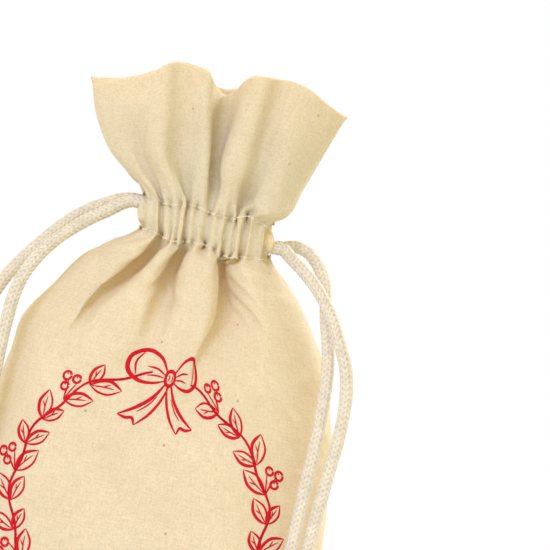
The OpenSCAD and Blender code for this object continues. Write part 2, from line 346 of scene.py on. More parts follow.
def folded(points, height=None):
    """Half of a station from listed points: share of the cloth's width, x, y and maybe z."""
    points = np.asarray(points, float)
    if height is not None:
        points = np.concatenate([points, np.full((len(points), 1), height)], 1)
    return spline(points[:, 0], points[:, 1:], np.linspace(0, 1, HALF + 1))[:-1]


# Plan of the front at three heights of the shoulders: share of the cloth's width, x, y. The seams are
# at shares 0 and 1; 0.22, 0.40 and 0.66 are valleys and 0.60 is the crease that overlaps the last.
SHOULDER_FRONTS = {
    142: [(0, -39.5, 0), (0.05, -38, -7), (0.11, -32.5, -13.5), (0.165, -26, -16.5), (0.19, -22.6, -14.5),
          (0.225, -20.3, -5), (0.26, -18.6, -12), (0.31, -15, -17.6), (0.35, -11.4, -15), (0.40, -8.8, -5),
          (0.445, -6.6, -14), (0.49, -2, -19), (0.545, 4, -19.5), (0.60, 7.8, -15.5), (0.66, 7.2, -4.5),
          (0.71, 11, -9.5), (0.77, 16.5, -15.2), (0.83, 22, -16.6), (0.89, 28.5, -13), (0.95, 34, -6.5),
          (1, 36, 0)],
    130: [(0, -47.5, 0), (0.06, -46, -9), (0.125, -40, -17), (0.18, -35, -20), (0.205, -32.6, -18.6),
          (0.225, -31, -13.5), (0.26, -27, -18.5), (0.31, -20, -22.6), (0.36, -13.6, -21.5),
          (0.40, -9.2, -15),
          (0.44, -5, -21), (0.49, 1, -23.8), (0.55, 6.6, -23), (0.60, 9.2, -18.5), (0.64, 9.8, -11.5),
          (0.69, 15, -13), (0.75, 21.5, -17), (0.82, 29, -20), (0.89, 36.5, -17), (0.95, 42, -9),
          (1, 43.5, 0)],
    115: [(0, -56.7, 0), (0.075, -55, -10.5), (0.15, -48, -19), (0.205, -40, -23.6), (0.225, -37.6, -22),
          (0.26, -33, -23.8), (0.33, -22, -26.6), (0.40, -11, -24.6), (0.46, -3, -27), (0.54, 3.6, -27.6),
          (0.59, 6, -25.4), (0.62, 7.2, -22), (0.68, 14, -22), (0.75, 23, -23.2), (0.82, 33, -22.8),
          (0.89, 42.5, -18.5), (0.95, 50, -10), (1, 52.5, 0)],
}
# Half-way up the header, and its mouth: share of the cloth's width, x, y, z
HEADER_FRONT = [
    (0, -37.4, 0, 176.5), (0.07, -35, -5, 177.5), (0.135, -30, -7.6, 179), (0.175, -26.6, -7.2, 179.5),
    (0.20, -25.6, -10.4, 179.8), (0.235, -23.4, -13.6, 180), (0.31, -18.6, -15.4, 180),
    (0.345, -16.2, -12.4, 180), (0.39, -12.6, -9.6, 180), (0.43, -8, -11.8, 180), (0.465, -3.4, -14.2, 180),
    (0.49, -2.6, -10, 180), (0.51, -1.6, -3, 180),
    (0.53, -0.9, -9.4, 180), (0.56, 0.6, -15.6, 180), (0.60, 4.6, -17.4, 180), (0.64, 9, -16.4, 180),
    (0.67, 11.6, -11.6, 180), (0.72, 15, -12.6, 180), (0.80, 20.2, -14.2, 180), (0.88, 25.2, -11, 179.5),
    (0.95, 28.8, -5.6, 178.5), (1, 29.6, 0, 177.5)]
# Just above the gathers, where the folds close up
HEADER_FOOT = [
    (0, -30, 0, 171.4), (0.07, -28.6, -5, 171.6), (0.14, -25, -8.4, 172), (0.20, -21.4, -7.2, 172),
    (0.25, -18.8, -11.4, 172), (0.32, -14.2, -13.8, 172), (0.36, -11.8, -12, 172), (0.39, -10.4, -8.6, 172),
    (0.43, -7.4, -11.8, 172), (0.465, -3.2, -13.2, 172), (0.49, -1.2, -11.4, 172), (0.51, -0.4, -7.4, 172),
    (0.53, 0.6, -11, 172), (0.56, 2.4, -14, 172), (0.60, 5.2, -15.2, 172), (0.64, 8.4, -13.4, 172),
    (0.675, 10.6, -7.6, 171.6), (0.72, 13.2, -12.6, 169.8), (0.80, 18.6, -15.8, 167.8),
    (0.88, 23.8, -12.8, 167.6), (0.95, 26.6, -6.2, 168.4), (1, 26.9, 0, 170)]
HEADER_BACK = [
    (0, 29.4, 0, 177.5), (0.08, 26, 7.5, 179), (0.18, 20, 12, 180), (0.26, 16, 7.5, 180),
    (0.30, 14.5, 4, 180), (0.36, 11.5, 11, 180), (0.45, 5, 15, 180), (0.55, -3, 15.5, 180),
    (0.64, -11, 13, 180),
    (0.69, -14.5, 6, 180), (0.74, -18, 10, 180), (0.82, -25, 13, 179.5), (0.92, -33, 7.5, 178),
    (1, -36, 0, 176.5)]
MOUTH_FRONT = [
    (0, -49.9, 0, 200.7), (0.06, -44.4, -6.5, 201.1), (0.13, -36.5, -11.5, 203.1),
    (0.21, -28.6, -14, 206.7), (0.27, -24, -14, 210.2), (0.335, -19.6, -10.2, 212),
    (0.385, -14.4, -10, 211.7), (0.425, -11, -12.8, 210.7),
    (0.45, -8.8, -13, 209.3), (0.465, -7.6, -9.6, 208), (0.49, -6, -0.5, 206.2), (0.51, -3.2, 6.4, 205),
    (0.53, 0, 1, 207.4), (0.55, 1.8, -8, 210), (0.565, 3.4, -13.4, 211.3), (0.60, 7, -16, 212.4),
    (0.64, 11.2, -15, 212.8), (0.67, 14, -11.6, 213), (0.73, 18.6, -12.4, 213.1), (0.80, 24.6, -12.8, 211.8),
    (0.88, 31, -9.8, 208.5), (0.94, 36, -5.2, 206.4), (1, 39.1, 0, 205.4)]
MOUTH_BACK = [
    (0, 39.1, 0, 205.4), (0.06, 35, 6, 206.5), (0.14, 28, 11, 208.5), (0.20, 23, 12.6, 210),
    (0.26, 20.4, 8, 210.5), (0.30, 18.5, 2, 210.5), (0.34, 16, 7, 210.5), (0.40, 12, 14, 210.6),
    (0.48, 4, 17.6, 209.4), (0.55, -4, 17.2, 206.8), (0.62, -13, 14.6, 207.6), (0.66, -17, 9, 208.4),
    (0.70, -19, 3, 208.8), (0.74, -22, 9, 208), (0.80, -29, 13.6, 206), (0.88, -38, 11, 203.3),
    (0.95, -46, 5, 201.5), (1, -49.9, 0, 200.7)]


def mirrored_back(points, left, right):
    """The same folds seen from behind, stretched to meet the front at both seams."""
    points = np.asarray(points, float)
    x = points[:, 1]
    swapped = np.where(x < 0, -x / left * right, -x / right * left)
    return np.stack([points[:, 0], swapped, -points[:, 2]], 1)


def front_and_back(front, height):
    """A whole station from a front with its seams at both ends, and the same folds behind."""
    back = mirrored_back(front, -front[0][1], front[-1][1])
    return np.concatenate([folded(front, height), folded(back, height)])


CASING_LOW = 152.5
CASING_HIGH = 167.5
NECK_FOOT = 151
NECK_HALF_WIDTH = 23.5
NECK_HALF_DEPTH = 15
# Valleys between the gathered pleats: share of the cloth's width, x at the lower stitching, x at
# the upper stitching, depth. The deep ones run on into the folds of the shoulders and the header.
PLEATS = [
    (0, -22.8, -24, 2), (0.11, -18.8, -20.4, 1.6), (0.22, -13.9, -16.2, 6.2), (0.28, -11.2, -13.5, 2.4),
    (0.34, -9.5, -9.8, 3), (0.40, -6.8, -7.8, 6), (0.455, -3, -4.5, 2.4), (0.51, 0.4, 0.4, 5.6),
    (0.565, 4.4, 3.2, 2.6), (0.62, 7, 7.5, 5), (0.675, 10.2, 9.4, 3.6), (0.73, 12.2, 12.4, 5),
    (0.86, 17.8, 17, 1.4), (1, 23, 22, 2)]
# The front's two lines of stitching rise and fall with the gathers: x and height above the straight line
LOWER_LINE = [(-24, 2.6), (-14, 0.2), (-7, 0.4), (2, 0.4), (10, -1.6), (16, -0.8), (24, 1)]
UPPER_LINE = [(-24, -1.5), (-16, -3.6), (-8.4, -1.8), (0, -3.6), (8.4, -3.2), (12, -2), (20, -3.2), (24, -3)]
# How far the casing's ends stand open at the stitching, and how much further between its two lines
OPENING_EDGE = 0.6
OPENING_REACH = 5.6


def neck_depth(x):
    """Depth of the gathered neck at a place across it, to the tops of its pleats."""
    share = np.clip(np.abs(x) / (NECK_HALF_WIDTH + 1), 0, 1)
    return NECK_HALF_DEPTH * (1 - share ** SQUARENESS) ** (1 / SQUARENESS)


def casing_half(height, side):
    """Gathered pleats of one panel's casing, puffed out over the cords between the two seams.

    Each pleat is a ridge between two valleys. Sines of its number make the pleats unlike each other.
    """
    lift = (height - CASING_LOW) / (CASING_HIGH - CASING_LOW)
    puff = math.sin(math.pi * lift)
    valleys = np.array(PLEATS, float)
    place = valleys[:, 1] + (valleys[:, 2] - valleys[:, 1]) * lift
    across, depth = valleys[:, 0], valleys[:, 3]
    if side > 0:
        across, place, depth = 1 - across[::-1], place[::-1], depth[::-1]
    share = np.linspace(0, 1, HALF + 1)
    x = np.interp(share, across, place)
    # The pleat that each column belongs to, and the share of the way across it
    pleat = np.clip(np.searchsorted(across, share, side="right") - 1, 0, len(across) - 2)
    phase = (share - across[pleat]) / (across[pleat + 1] - across[pleat])
    # How far the cloth sinks behind the ridges, less where the cords fill the casing
    sink = depth[pleat] * (1 - phase) + depth[pleat + 1] * phase
    roundness = 0.75 + 0.25 * (pleat * 3 % 4)
    slope = 1 + 0.5 * (lift - 0.5) * np.where(pleat % 2 == 0, 1, -1)
    sink = sink * slope * (1 - 0.42 * puff) * (1 - np.abs(np.sin(math.pi * phase)) ** roundness)
    y = neck_depth(x) + 0.2 + 0.8 * puff + 0.5 * np.sin(pleat * 2.1 + side) - sink
    x = x + 0.7 * np.sin(2 * math.pi * phase) * np.sin(pleat * 1.7 + 0.6)
    # Both ends stand open at the side seams, where the cords leave
    opening = OPENING_EDGE + OPENING_REACH * puff ** 0.3
    end = smoothstep(0, 0.07, share) * smoothstep(0, 0.07, 1 - share)
    y = opening * (1 - end) + np.maximum(y, 1.0) * end
    lower, upper = (np.interp(x, *zip(*line)) for line in (LOWER_LINE, UPPER_LINE))
    z = height + ((1 - lift) * lower + lift * upper) + 0.5 * np.sin(share * 21 + 2 * side)
    return np.stack([x, side * y, z], 1)


def casing_station(height):
    """Both panels' gathers at a height of the casing."""
    return np.concatenate([casing_half(height, -1)[:-1], casing_half(height, 1)[:-1]])


def seam_station():
    """The bottom seam under the pouch, both panels on one line, its ends turned up at the sides."""
    left, right, _ = outline_at(9)
    turned_up = [(0, 15), (1.5, 9.5), (6, 4.4), (14, 1.4)]
    line = [(-left + x, 0, z) for x, z in turned_up] + [(x, 0, 0.7) for x in (-30, 0, 30)]
    line += [(right - x, 0, z) for x, z in reversed(turned_up)]
    front = evenly(smooth_route(line), HALF + 1)
    return np.concatenate([front[:-1], front[::-1][:-1]])


def resized(points, left, right, depth, height):
    """A half station narrowed to new ends, on another level; heights keep 0.4 of their differences from the
    highest.
    """
    points = np.array(points, float)
    x = points[:, 1]
    points[:, 1] = np.where(x < 0, x / points[:, 1].min() * left, x / points[:, 1].max() * right)
    points[:, 2] *= depth
    if points.shape[1] > 3:
        points[:, 3] = height + (points[:, 3] - points[:, 3].max()) * 0.4
    return points


def side_share():
    """0 in the middle of each panel, 1 at the side seams."""
    share = np.abs(np.linspace(-1, 1, HALF + 1))[:-1]
    return np.concatenate([share, share])


def shoulder_folds_at(height):
    """The folds of the lowest shoulder station, carried down to a height of the body."""
    left, right, depth = outline_at(height)
    lowest = SHOULDER_FRONTS[115]
    deepest = max(-y for _, _, y in lowest)
    return front_and_back(resized(lowest, 1 - left, right - 1, (depth - 1) / deepest, 0), height)


# How far the body's lower corners rise at the side seams
CORNER_RISE = 15
# Heights of the body's stations and the share of that rise at each, and heights of the casing's
BODY_STATIONS = ((9, 0.85), (25, 0.35), (40, 0.1), (55, 0), (70, 0), (83, 0), (95, 0), (105, 0))
CASING_STATIONS = (CASING_LOW, 156, 160, 164, CASING_HIGH)
# New left and right ends and the share of the depth kept, where the station below the casing is made
# from the highest shoulder one, and its height. The back of the header's foot also has its height here.
BELOW_NECK = (-31.5, 28.2, 0.9)
BELOW_NECK_HEIGHT = 148.2
FOOT_BEHIND = (-30, 26.9, 0.95, 171.8)


def all_stations():
    """Every station from the bottom seam to the mouth, and the number of the casing's first one."""
    rise = CORNER_RISE * side_share() ** 5
    base = oval(OUTLINE[0, 1] - 1, OUTLINE[0, 2] - 1, OUTLINE[0, 3] - 3, 1.0)
    base[:, 2] += rise * 1.15
    stations = [seam_station(), base]
    for height, lift in BODY_STATIONS:
        # The shoulders' folds fade into the plain body
        folds = smoothstep(70, 120, height)
        ring = body_station(height) * (1 - folds) + shoulder_folds_at(height) * folds
        ring[:, 2] += rise * lift
        stations.append(ring)
    stations += [front_and_back(SHOULDER_FRONTS[height], height) for height in (115, 130, 142)]
    below_neck = resized(SHOULDER_FRONTS[142], *BELOW_NECK, 0)
    stations.append(front_and_back(below_neck, BELOW_NECK_HEIGHT))
    first_casing = len(stations)
    stations += [casing_station(height) for height in CASING_STATIONS]
    foot = np.concatenate([folded(HEADER_FOOT), folded(resized(HEADER_BACK, *FOOT_BEHIND))])
    header = np.concatenate([folded(HEADER_FRONT), folded(HEADER_BACK)])
    mouth = np.concatenate([folded(MOUTH_FRONT), folded(MOUTH_BACK)])
    flare = (header + mouth) / 2
    # The header's left edge bows out
    flare[:, 0] -= 2.2 * smoothstep(-30, -42, flare[:, 0])
    return np.array(stations + [foot, header, flare, mouth]), first_casing


def first_shape():
    """The pouch before it is relaxed, as rows of cloth columns, and the rows on both lines of stitching."""
    stations, first_casing = all_stations()
    middle = np.linalg.norm(np.diff(stations, axis=0), axis=2).mean(axis=1)
    run = np.concatenate([[0], np.cumsum(middle)])
    lower, upper = run[first_casing], run[first_casing + len(CASING_STATIONS) - 1]
    # Even rows, moved a little so that whole rows lie on both lines of stitching
    rows = np.linspace(0, run[-1], ROWS)
    low, high = (int(round(line / rows[1])) for line in (lower, upper))
    rows[:low + 1] = np.linspace(0, lower, low + 1)
    rows[low:high + 1] = np.linspace(lower, upper, high - low + 1)
    rows[high:] = np.linspace(upper, run[-1], ROWS - high)
    return spline(run, stations, rows), low, high


# ----------- cloth: relaxing it

def blur_columns(values, reach):
    """Running mean round the cloth, over reach columns to each side."""
    total = values.copy()
    for shift in range(1, reach + 1):
        total += np.roll(values, shift, axis=1) + np.roll(values, -shift, axis=1)
    return total / (2 * reach + 1)


def threads(rows, columns, down, across, rest):
    """Pairs of points a fixed number of rows and columns apart, in two sets that share no point."""
    i, j = np.meshgrid(np.arange(rows - down), np.arange(columns), indexing="ij")
    colour = (i // down) % 2 if down else (j // across) % 2
    sets = []
    for wanted in (0, 1):
        pick = colour == wanted
        start = i[pick] * columns + j[pick]
        end = (i[pick] + down) * columns + (j[pick] + across) % columns
        sets.append((start, end, rest[:rows - down][pick]))
    return sets


RELAX_STEPS = 30
THREAD_PASSES = 5
# Share of each step's movement that carries on into the next
MOMENTUM = 0.9
# Rows and columns between a thread's ends, and its stiffness: the weave, its bias, and its bending
WEAVE = ((0, 1, 1.0), (1, 0, 1.0), (1, 1, 0.3), (1, -1, 0.3),
         (0, 2, 0.2), (2, 0, 0.2), (0, 4, 0.1), (4, 0, 0.1))


def thread_sets(shape):
    """Every thread of the cloth: its two ends, its length and its stiffness, in sets to move at once."""
    rows, columns, _ = shape.shape
    even = CLOTH_ROUND / columns
    laid = blur_columns(np.linalg.norm(np.roll(shape, -1, axis=1) - shape, axis=2), 2)
    kept = np.interp(shape[:, :, 2].mean(axis=1)[:, None], FULLNESS_HEIGHTS, FULLNESS_KEPT)
    across = even + (np.minimum(laid, even * 1.3) - even) * kept
    up = blur_columns(np.linalg.norm(np.diff(shape, axis=0, append=shape[-1:]), axis=2), 4)
    sets = []
    for down, over, stiffness in WEAVE:
        length = np.sqrt((over * across) ** 2 + (down * up) ** 2)
        sets += [(*ends, stiffness) for ends in threads(rows, columns, down, over, length)]
    return sets


def relax(shape, held, wish):
    """Lets the cloth find its own folds: threads keep their length, and it resists sharp bends.

    held is 1 where a point may not move, and wish how strongly a point is drawn to where it began.
    The pouch's contents push the body out from inside.
    """
    sets = thread_sets(shape)
    goal = shape.reshape(-1, 3).copy()
    point, before = goal.copy(), goal.copy()
    free = 1.0 - held.reshape(-1)
    draw = (wish.reshape(-1) * free)[:, None]
    for _ in range(RELAX_STEPS):
        moved = (point - before) * MOMENTUM
        before = point.copy()
        point += moved * free[:, None]
        for _ in range(THREAD_PASSES):
            for start, end, rest, stiffness in sets:
                gap = point[end] - point[start]
                length = np.sqrt(np.einsum("ij,ij->i", gap, gap)) + 1e-9
                weight = free[start] + free[end] + 1e-9
                gap *= (stiffness * (length - rest) / (length * weight))[:, None]
                point[start] += gap * free[start][:, None]
                point[end] -= gap * free[end][:, None]
            point += (goal - point) * draw
            keep_between(point, free)
    return point.reshape(shape.shape)


# Share of the laid-out cloth's own spacing that is kept at each height, the rest being even
FULLNESS_HEIGHTS = (75, 95, 112)
FULLNESS_KEPT = (0.3, 0.9, 1)

# How far in the cloth may fold at each height, and how far out it may stand, as shares of the CAD outline
INNER_HEIGHTS = (0, 105, 115, 122, 130, 142, 149, 151, 153.5, 154.5, 165.5, 166.5)
INNER_SHARES = (0.965, 0.965, 0.90, 0.76, 0.52, 0.30, 0.20, 0, 0, 0.86, 0.86, 0)
OUTER_HEIGHTS = (0, 146, 149, 153, 167, 169)
OUTER_SHARES = (1.01, 1.01, 1.2, 1.17, 1.17, 9)


def keep_between(point, free):
    """Pushes cloth off the contents inside, off the floor and back to the outline of the body."""
    z = point[:, 2]
    left, right, depth = outline_at(z)
    in_neck = z > NECK_FOOT
    half = np.where(in_neck, NECK_HALF_WIDTH, np.where(point[:, 0] < 0, left, right))
    depth = np.where(in_neck, NECK_HALF_DEPTH, depth)
    share = (np.abs(point[:, 0]) / half) ** SQUARENESS + (np.abs(point[:, 1]) / depth) ** SQUARENESS
    share = np.maximum(share ** (1 / SQUARENESS), 1e-6)
    inner = np.where(z < 9, 0, np.interp(z, INNER_HEIGHTS, INNER_SHARES))
    outer = np.interp(z, OUTER_HEIGHTS, OUTER_SHARES)
    scale = np.where(share < inner, inner / share, 1.0)
    scale = np.where(share > outer, outer / share, scale)
    scale = 1 + (scale - 1) * 0.5 * free
    point[:, 0] *= scale
    point[:, 1] *= scale
    np.maximum(z, 0.3, out=z)


def soothed(shape, held, passes):
    """Takes the sharpest points off the free cloth."""
    free = (1 - held[1:-1])[..., None]
    for _ in range(passes):
        beside = (np.roll(shape, 1, axis=1) + np.roll(shape, -1, axis=1))[1:-1]
        mean = (beside + shape[:-2] + shape[2:]) / 4
        shape[1:-1] += (mean - shape[1:-1]) * 0.5 * free
    return shape


# How strongly the cloth is drawn to where it was laid: everywhere, and more in these places
BODY_PULL = 0.01
SHOULDER_PULL = 0.05
HEADER_PULL = 0.02
SEWN_PULL = 0.12


def gathered_cloth():
    """The relaxed pouch as rows of cloth columns, and the rows on both lines of stitching."""
    shape, low, high = first_shape()
    held = np.zeros(shape.shape[:2])
    # The bottom seam, the mouth, both lines of stitching and the openings' edges keep their places
    held[[0, -1, low, high]] = 1
    for seam in (0, HALF):
        for near in (-2, -1, 0, 1, 2):
            held[low:high + 1, (seam + near) % COLUMNS] = 1
    level = shape[:, :, 2].mean(axis=1)[:, None]
    seam_near = smoothstep(0.9, 0.98, side_share())[None, :]
    wish = BODY_PULL + SHOULDER_PULL * smoothstep(90, 122, level) + HEADER_PULL * (level > 168)
    wish = wish + SEWN_PULL * seam_near * smoothstep(100, 125, level)
    wish[low - 5:high + 7] = SEWN_PULL
    shape = soothed(relax(shape, held, wish), held, 3)
    return shape, low, high


# ----------- cloth: panels made from the rows

CLOTH_THICK = 0.45
# Half the distance between the header's two layers
FOLD_RADIUS = 0.55
# The facing in the casing, between the cord's legs: how far forwards or back it stands, half its
# width there, and its share of the neck's width
FACING_DEPTH = 3.4
FACING_HALF = 12.6
FACING_SHARE = 0.52
# Columns of each lip at the casing's open ends, and how far the lips reach out
LIP_COLUMNS = 4
FRONT_LIP_REACH = 2.2
BACK_LIP_REACH = -0.8


def refine(shape):
    """Twice as many rows and columns, on a smooth surface through the cloth's points."""
    rows, columns, _ = shape.shape
    shape = spline(np.arange(rows), shape, np.arange(0, rows - 0.5, 0.5))
    # A few columns are repeated at each end, so that the surface closes smoothly
    around = np.concatenate([shape[:, -4:], shape, shape[:, :5]], axis=1).transpose(1, 0, 2)
    around = spline(np.arange(columns + 9) - 4, around, np.arange(0, columns, 0.5))
    return around.transpose(1, 0, 2)


def panel_grid(fine, side, low, high):
    """One panel's outer face from seam to seam.

    The casing's ends are open, so the panels part at the seams there: the front one reaches a
    little over the cords and the back one keeps behind them.
    """
    count = fine.shape[1]
    first = 0 if side < 0 else count // 2
    grid = fine[:, np.arange(first, first + count // 2 + 1) % count].copy()
    # Each lip is a copy of a column further in, moved outwards, and the columns between are spread evenly
    rows = slice(low + 1, high)
    puff = np.sin(math.pi * np.arange(1, high - low) / (high - low))
    reach = FRONT_LIP_REACH if side < 0 else BACK_LIP_REACH
    for end, step in ((0, 1), (-1, -1)):
        inner = grid[rows, end + LIP_COLUMNS * step]
        outside = math.copysign(1, inner[0, 0])
        lip = inner.copy()
        lip[:, 0] += outside * reach * puff
        lip[:, 1] -= side * 0.3
        for k in range(LIP_COLUMNS):
            share = k / LIP_COLUMNS
            grid[rows, end + k * step] = lip * (1 - share) + inner * share
    return grid


def outward(grid):
    """Unit normals of a panel's outer face."""
    across = np.gradient(grid, axis=1)
    up = np.gradient(grid, axis=0)
    normal = np.cross(across, up)
    return normal / (np.linalg.norm(normal, axis=2)[..., None] + 1e-9)


def facing_grid(grid, side, low, high):
    """The header's second layer: over the top fold and down inside it, to the lower line of stitching."""
    normal = outward(grid)
    top, top_normal = grid[-1], normal[-1]
    up = grid[-1] - grid[-3]
    up /= np.linalg.norm(up, axis=1)[:, None]
    # Over the fold in a half circle, then down along the same normals made smoother
    centre = top - top_normal * FOLD_RADIUS
    rows = [centre + FOLD_RADIUS * (math.cos(turn) * top_normal + math.sin(turn) * up)
            for turn in (math.pi * 0.25, math.pi * 0.5, math.pi * 0.75)]
    soft = normal.copy()
    for _ in range(6):
        soft[:, 1:-1] = (soft[:, :-2] + soft[:, 1:-1] * 2 + soft[:, 2:]) / 4
    soft /= np.linalg.norm(soft, axis=2)[..., None] + 1e-9
    for row in range(len(grid) - 1, low - 1, -2):
        inside = grid[row] - soft[row] * 2 * FOLD_RADIUS
        # In the casing the facing leaves the outer cloth for the middle of the neck
        behind_cords = 1 - smoothstep(high, high + 9, row)
        inner = inside.copy()
        inner[:, 0] *= FACING_SHARE
        ripple = 0.3 * np.sin(np.linspace(0, 40, len(inner)))
        inner[:, 1] = side * (1 + FACING_DEPTH * (1 - (inner[:, 0] / FACING_HALF) ** 2) + ripple)
        rows.append(inside * (1 - behind_cords) + inner * behind_cords)
    return np.array(rows)


def cloth_panel(name, fine, side, low, high, material):
    """One panel as a single cut of calico with real thickness. Its UV map is the flat cloth, in metres."""
    grid = panel_grid(fine, side, low, high)
    whole = np.concatenate([grid, facing_grid(grid, side, low, high)])
    rows, count, _ = whole.shape
    obj = mesh_object(name, whole.reshape(-1, 3) * MM, grid_faces(rows, count))
    step = np.linalg.norm(np.diff(whole, axis=0), axis=2).mean(axis=1)
    run = np.concatenate([[0], np.cumsum(step)])
    flat = np.stack(np.meshgrid(np.linspace(0, CLOTH_ROUND / 2, count), run), axis=2).reshape(-1, 2) * MM
    if side > 0:
        flat[:, 0] += CLOTH_ROUND * MM
    layer = obj.data.uv_layers.new(name="cloth")
    corner = np.empty(len(obj.data.loops), int)
    obj.data.loops.foreach_get("vertex_index", corner)
    layer.data.foreach_set("uv", flat[corner].reshape(-1))
    thickness = obj.modifiers.new("thickness", "SOLIDIFY")
    thickness.thickness = CLOTH_THICK * MM
    thickness.offset = -1
    attach(obj, material, "pouch", "front_panel" if side < 0 else "back_panel")
    return obj, grid, run[-1]


# ----------- threads on the cloth

THREAD_R = 0.27
STITCH = 2.3
STITCH_GAP = 0.7
# Bar tacks: threads in each, and half their length, their radius, their spacing and their bow
BAR_THREADS = 5
BAR_HALF = 1.3
BAR_R = 0.2
BAR_SPACING = 0.36
BAR_BOW = 0.3


def many_tubes(name, routes, radius, sides=6):
    """One piece made of many short tubes."""
    points, faces, count = [], [], 0
    for route in routes:
        more, loops = tube(np.asarray(route, float), radius, sides)
        points.append(more)
        faces += [tuple(k + count for k in loop) for loop in loops]
        count += len(more)
    return mesh_object(name, np.concatenate(points) * MM, faces)


def stitches(line, normal, rise=0.16, dip=0.45):
    """Routes of the stitches along a line on the cloth: each rises off it and dips into it at both ends."""
    run = distances(line)
    routes = []
    start = STITCH_GAP
    while start + STITCH < run[-1]:
        at = np.linspace(start, start + STITCH, 7)
        height = rise - (rise + dip) * np.abs(np.linspace(-1, 1, 7)) ** 6
        routes.append(read_along(run, line, at) + read_along(run, normal, at) * height[:, None])
        start += STITCH + STITCH_GAP
    return routes


def sew(name, routes, material, node, radius=THREAD_R):
    """One piece of sewing thread, in place of its CAD node."""
    attach(many_tubes(name, routes, radius), material, "pouch", node)


def sew_casing(panels, low, high, material):
    """Both lines of stitching on both panels, as far as the openings at the side seams."""
    for side, grid in panels.items():
        where = "front" if side < 0 else "back"
        normal = outward(grid)
        for row, name in ((low, "lower"), (high, "upper")):
            routes = stitches(grid[row, 4:-4], normal[row, 4:-4])
            sew(f"{where}_{name}_stitches", routes, material, f"{where}_{name}_stitching")


def sew_seams(fine, low, high, material):
    """The side seams below and above the openings, sunk between the panels, and the bottom seam."""
    count = fine.shape[1]
    for column, node in ((0, "left_side_seam"), (count // 2, "right_side_seam")):
        routes = []
        for rows in (slice(6, low), slice(high, len(fine) - 3)):
            line = fine[rows, column]
            away = line.copy()
            away[:, 2] -= np.maximum(line[:, 2], 45)
            away /= np.linalg.norm(away, axis=1)[:, None]
            routes += stitches(line, away, rise=-0.8, dip=1.2)
        sew(f"{node}_stitches", routes, material, node)
    line = fine[0, 8:count // 2 - 8] + (0, 0, 0.2)
    up = np.tile((0, 0, 1.0), (len(line), 1))
    sew("bottom_seam_stitches", stitches(line, up), material, "bottom_seam")


def sew_openings(fine, low, high, material):
    """Bar tacks across the seams, below and above both openings."""
    across = np.linspace(-BAR_HALF, BAR_HALF, 7)
    bars = []
    for column, outside in ((0, -1), (fine.shape[1] // 2, 1)):
        for row, turn in ((low, -1), (high, 1)):
            at = fine[row, column] + (0, 0, turn * 0.3)
            for k in range(BAR_THREADS):
                level = at + (0, 0, (k - BAR_THREADS // 2) * BAR_SPACING)
                bow = outside * BAR_BOW * (1 - (across / BAR_HALF) ** 2)
                bars.append(level + np.stack([bow, across, 0 * across], 1))
    sew("opening_bars", bars, material, "opening_bar_tacks", BAR_R)


# ----------- the print

WREATH_CENTRE = (-3, 65)
WREATH_RADIUS = 44
LEAF_PAIRS = 23
# Degrees left free of leaves at each side of the bow
BOW_SPACE = 37
INK_ABOVE = 0.07


class ClothMap:
    """Places flat drawing coordinates, in mm from the wreath's centre, on the front of the cloth."""

    def __init__(self, grid):
        self.grid = grid
        self.normal = outward(grid)
        x, z = WREATH_CENTRE
        away = (grid[..., 0] - x) ** 2 + (grid[..., 2] - z) ** 2
        # The nearest point is looked for above the base
        away[:60] = 1e9
        self.row, self.column = np.unravel_index(np.argmin(away), away.shape)
        self.wide = CLOTH_ROUND / 2 / (grid.shape[1] - 1)
        body = grid[self.row - 30:self.row + 30, self.column]
        self.tall = line_length(body) / (len(body) - 1)

    def place(self, flat, lift):
        """Points on the cloth for flat drawing points, lift above it."""
        column = np.clip(self.column + flat[:, 0] / self.wide, 0, self.grid.shape[1] - 1.001)
        row = np.clip(self.row + flat[:, 1] / self.tall, 0, self.grid.shape[0] - 1.001)
        c, r = column.astype(int), row.astype(int)
        u, v = (column - c)[:, None], (row - r)[:, None]
        result = []
        for field in (self.grid, self.normal):
            result.append(field[r, c] * (1 - u) * (1 - v) + field[r, c + 1] * u * (1 - v)
                          + field[r + 1, c] * (1 - u) * v + field[r + 1, c + 1] * u * v)
        point, normal = result
        return point + normal / np.linalg.norm(normal, axis=1)[:, None] * lift


def stroke(points, width, start=0.25, end=0.1):
    """A brush stroke: its line, and its half-width swelling from start to the middle and down to end."""
    points = np.asarray(points, float)
    run = distances(points)
    line = spline(run, points, np.linspace(0, run[-1], max(6, int(run[-1] / 0.45))))
    share = np.linspace(0, 1, len(line))
    body = np.sin(math.pi * share) ** 0.6
    ends = start * (1 - share) ** 3 + end * share ** 3
    return line, width / 2 * np.clip(body + ends, 0.08, 1)


def turned(points, angle, centre):
    """Local drawing points turned and moved. Angle is in degrees."""
    a = math.radians(angle)
    points = np.asarray(points, float)
    return np.stack([centre[0] + points[:, 0] * math.cos(a) - points[:, 1] * math.sin(a),
                     centre[1] + points[:, 0] * math.sin(a) + points[:, 1] * math.cos(a)], 1)


def ring_point(angle, radius):
    """Drawing point at an angle in degrees and a distance from the wreath's centre."""
    a = math.radians(angle)
    return (radius * math.cos(a), radius * math.sin(a))


def leaf_strokes(angle, radius, lean, size):
    """Outline, vein and one side vein of a leaf that grows from the ring."""
    centre = ring_point(angle, radius)
    heading = angle + 90 + lean
    upper = [(0, 0), (0.28, 0.19), (0.6, 0.23), (0.86, 0.1), (1, 0)]
    lower = [(0, 0), (0.3, -0.17), (0.62, -0.2), (0.87, -0.08), (1, 0)]
    vein = [(0.06, 0), (0.4, 0.02), (0.78, 0)]
    side = [(0.4, 0.02), (0.5, 0.07), (0.62, 0.13)]
    drawn = []
    for line, width in ((upper, 1.25), (lower, 0.85), (vein, 0.6), (side, 0.5)):
        drawn.append(stroke(turned(np.array(line) * size, heading, centre), width))
    return drawn


